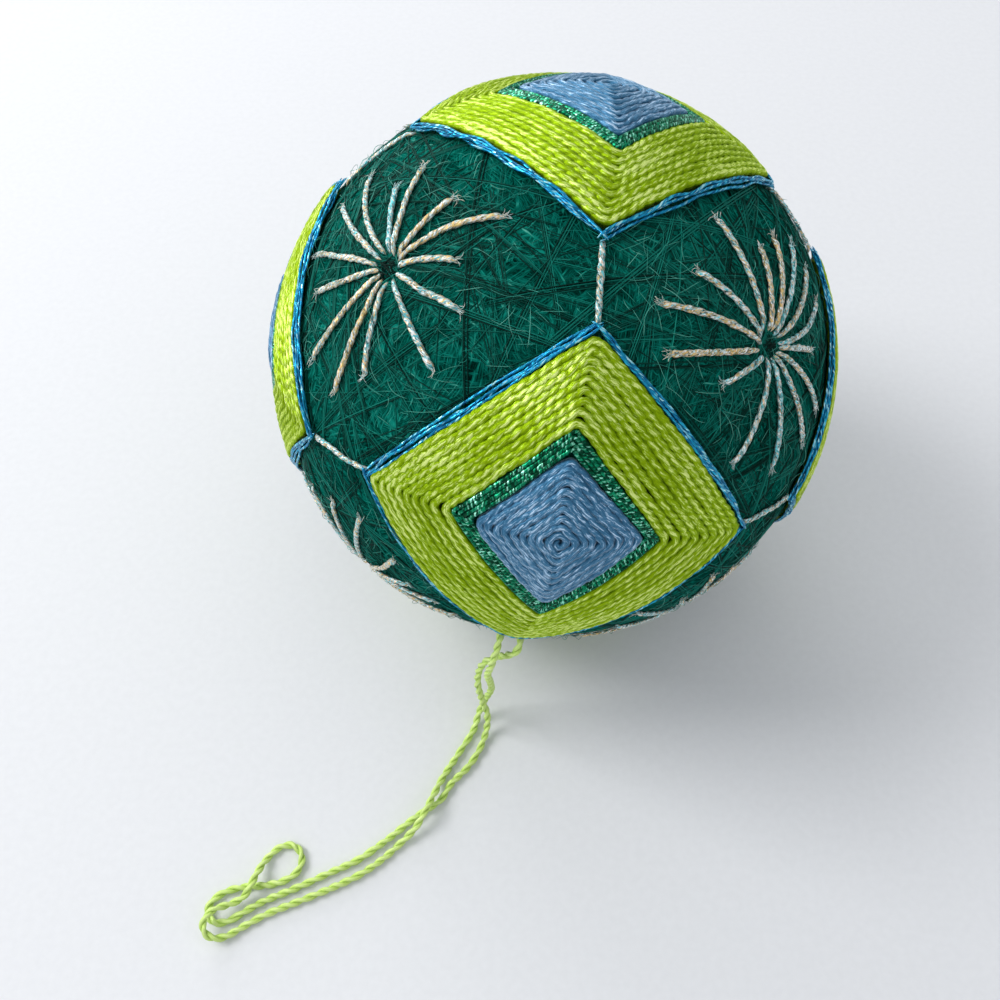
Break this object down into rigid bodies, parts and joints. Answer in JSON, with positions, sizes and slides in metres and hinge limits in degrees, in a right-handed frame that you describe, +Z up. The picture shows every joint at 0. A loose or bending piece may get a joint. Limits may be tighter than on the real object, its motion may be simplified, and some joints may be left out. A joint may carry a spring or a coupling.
{
  "type": "temari ball",
  "caption": "Thread-wound ball stitched with nested squares and starbursts, lying on a small flat spot, with a thin twisted hanging loop.",
  "frame": {"origin": "under the ball's centre, on the small flat spot on which it rests", "axes": "+Z up; -Y is the side that the front square and the hanging loop face; +X to the right of it"},
  "size_m": [0.0856, 0.1066, 0.0749],
  "materials": {
    "ground_thread": "fine dark green thread wound in every direction, slightly fuzzy",
    "lime_thread": "two-ply pearl cotton with a soft sheen, laid in mitred rows",
    "frame_thread": "dark green metallic braid with pale sparkle",
    "blue_thread": "soft two-ply blue cotton in a square spiral",
    "outline_thread": "twisted blue metallic thread with bright glints",
    "white_braid": "pearly white and gold metallic braid, frayed at its ends",
    "loop_cord": "two-ply twisted lime pearl cotton"
  },
  "bodies": {
    "root": {"wound_ball": "ground_thread", "blue_middle_top": "blue_thread", "green_frame_top": "frame_thread", "lime_band_top": "lime_thread", "blue_outline_top": "outline_thread", "blue_middle_bottom": "blue_thread", "green_frame_bottom": "frame_thread", "lime_band_bottom": "lime_thread", "blue_outline_bottom": "outline_thread", "blue_middle_front": "blue_thread", "green_frame_front": "frame_thread", "lime_band_front": "lime_thread", "blue_outline_front": "outline_thread", "blue_middle_back": "blue_thread", "green_frame_back": "frame_thread", "lime_band_back": "lime_thread", "blue_outline_back": "outline_thread", "blue_middle_left": "blue_thread", "green_frame_left": "frame_thread", "lime_band_left": "lime_thread", "blue_outline_left": "outline_thread", "blue_middle_right": "blue_thread", "green_frame_right": "frame_thread", "lime_band_right": "lime_thread", "blue_outline_right": "outline_thread", "guide_top_front": "white_braid", "guide_top_back": "white_braid", "guide_top_left": "white_braid", "guide_top_right": "white_braid", "guide_bottom_front": "white_braid", "guide_bottom_back": "white_braid", "guide_bottom_left": "white_braid", "guide_bottom_right": "white_braid", "guide_front_left": "white_braid", "guide_front_right": "white_braid", "guide_back_left": "white_braid", "guide_back_right": "white_braid", "starburst_front_left_top": "white_braid", "starburst_front_left_bottom": "white_braid", "starburst_front_right_top": "white_braid", "starburst_front_right_bottom": "white_braid", "starburst_back_left_top": "white_braid", "starburst_back_left_bottom": "white_braid", "starburst_back_right_top": "white_braid", "starburst_back_right_bottom": "white_braid", "hanging_loop": "loop_cord"}
  },
  "joints": []
}
